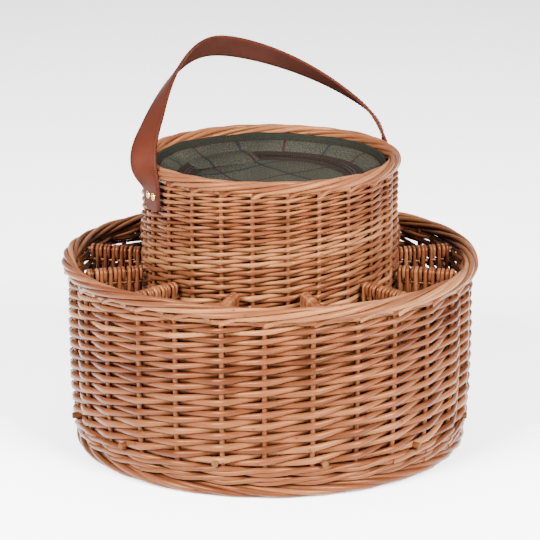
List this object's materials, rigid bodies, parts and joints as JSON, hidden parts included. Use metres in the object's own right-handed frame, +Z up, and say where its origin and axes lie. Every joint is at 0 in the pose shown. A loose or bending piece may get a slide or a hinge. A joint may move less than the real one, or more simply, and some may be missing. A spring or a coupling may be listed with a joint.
{
  "type": "wicker picnic cooler",
  "caption": "Round woven willow drinks basket with radial partitions around a raised drum that holds an insulated, zip-lidded cooler, carried by a riveted leather strap.",
  "frame": {"origin": "middle of the foot, on the table", "axes": "+Z up; the strap is riveted at -X and +X; the lid's cloth hinge is at +Y"},
  "size_m": [0.45, 0.45, 0.423],
  "materials": {
    "willow": "steamed buff willow, satin",
    "leather": "smooth tan leather with painted edges",
    "brass": "polished",
    "tweed": "woven wool check",
    "binding": "olive woven tape",
    "zip_tape": "dark brown tape with moulded teeth",
    "foam": "closed-cell foam",
    "foil": "metallised film"
  },
  "bodies": {
    "basket": {"floor": "willow", "foot_border": "willow", "wale_front": "willow", "wale_back": "willow", "outer_wall_front": "willow", "outer_wall_back": "willow", "outer_rim": "willow", "drum_wall": "willow", "drum_rim": "willow", "partition_01": "willow", "partition_02": "willow", "partition_03": "willow", "partition_04": "willow", "partition_05": "willow", "partition_06": "willow", "partition_07": "willow", "partition_08": "willow", "partition_09": "willow", "partition_10": "willow", "partition_11": "willow", "partition_12": "willow", "cooler_jacket": "binding", "foam_sleeve": "foam", "foam_floor": "foam", "foil_lining": "foil", "liner_binding": "binding", "collar": "tweed", "zip_tape_collar": "zip_tape", "strap_tail_left": "leather", "strap_tail_right": "leather", "rivet_left_front": "brass", "rivet_left_back": "brass", "rivet_right_front": "brass", "rivet_right_back": "brass", "rivet_washer_left_front": "brass", "rivet_washer_left_back": "brass", "rivet_washer_right_front": "brass", "rivet_washer_right_back": "brass"},
    "handle": {"strap_loop": "leather"},
    "lid": {"lid_panel": "tweed", "lid_foil": "foil", "zip_tape_lid": "zip_tape", "lid_hinge_tab": "tweed"},
    "slider_left": {"zip_slider_left": "brass"},
    "slider_right": {"zip_slider_right": "brass"},
    "puller_left": {"zip_puller_left": "brass"},
    "puller_right": {"zip_puller_right": "brass"}
  },
  "joints": [
    {"name": "strap_swing", "type": "hinge", "parent": "basket", "child": "handle", "pos_m": [0, 0, 0.318], "axis": [1, 0, 0], "range_deg": [-28, 108]},
    {"name": "lid_hinge", "type": "hinge", "parent": "basket", "child": "lid", "pos_m": [0, 0.099, 0.2945], "axis": [-1, 0, 0], "range_deg": [0, 65]},
    {"name": "zip_run_left", "type": "hinge", "parent": "basket", "child": "slider_left", "pos_m": [0, 0, 0.295], "axis": [0, 0, -1], "range_deg": [0, 125]},
    {"name": "zip_run_right", "type": "hinge", "parent": "basket", "child": "slider_right", "pos_m": [0, 0, 0.295], "axis": [0, 0, 1], "range_deg": [0, 125]},
    {"name": "puller_flip_left", "type": "hinge", "parent": "slider_left", "child": "puller_left", "pos_m": [-0.0115, -0.09395, 0.2949], "axis": [0, 1, 0], "range_deg": [0, 90]},
    {"name": "puller_flip_right", "type": "hinge", "parent": "slider_right", "child": "puller_right", "pos_m": [0.0115, -0.09395, 0.2949], "axis": [0, -1, 0], "range_deg": [0, 90]}
  ]
}
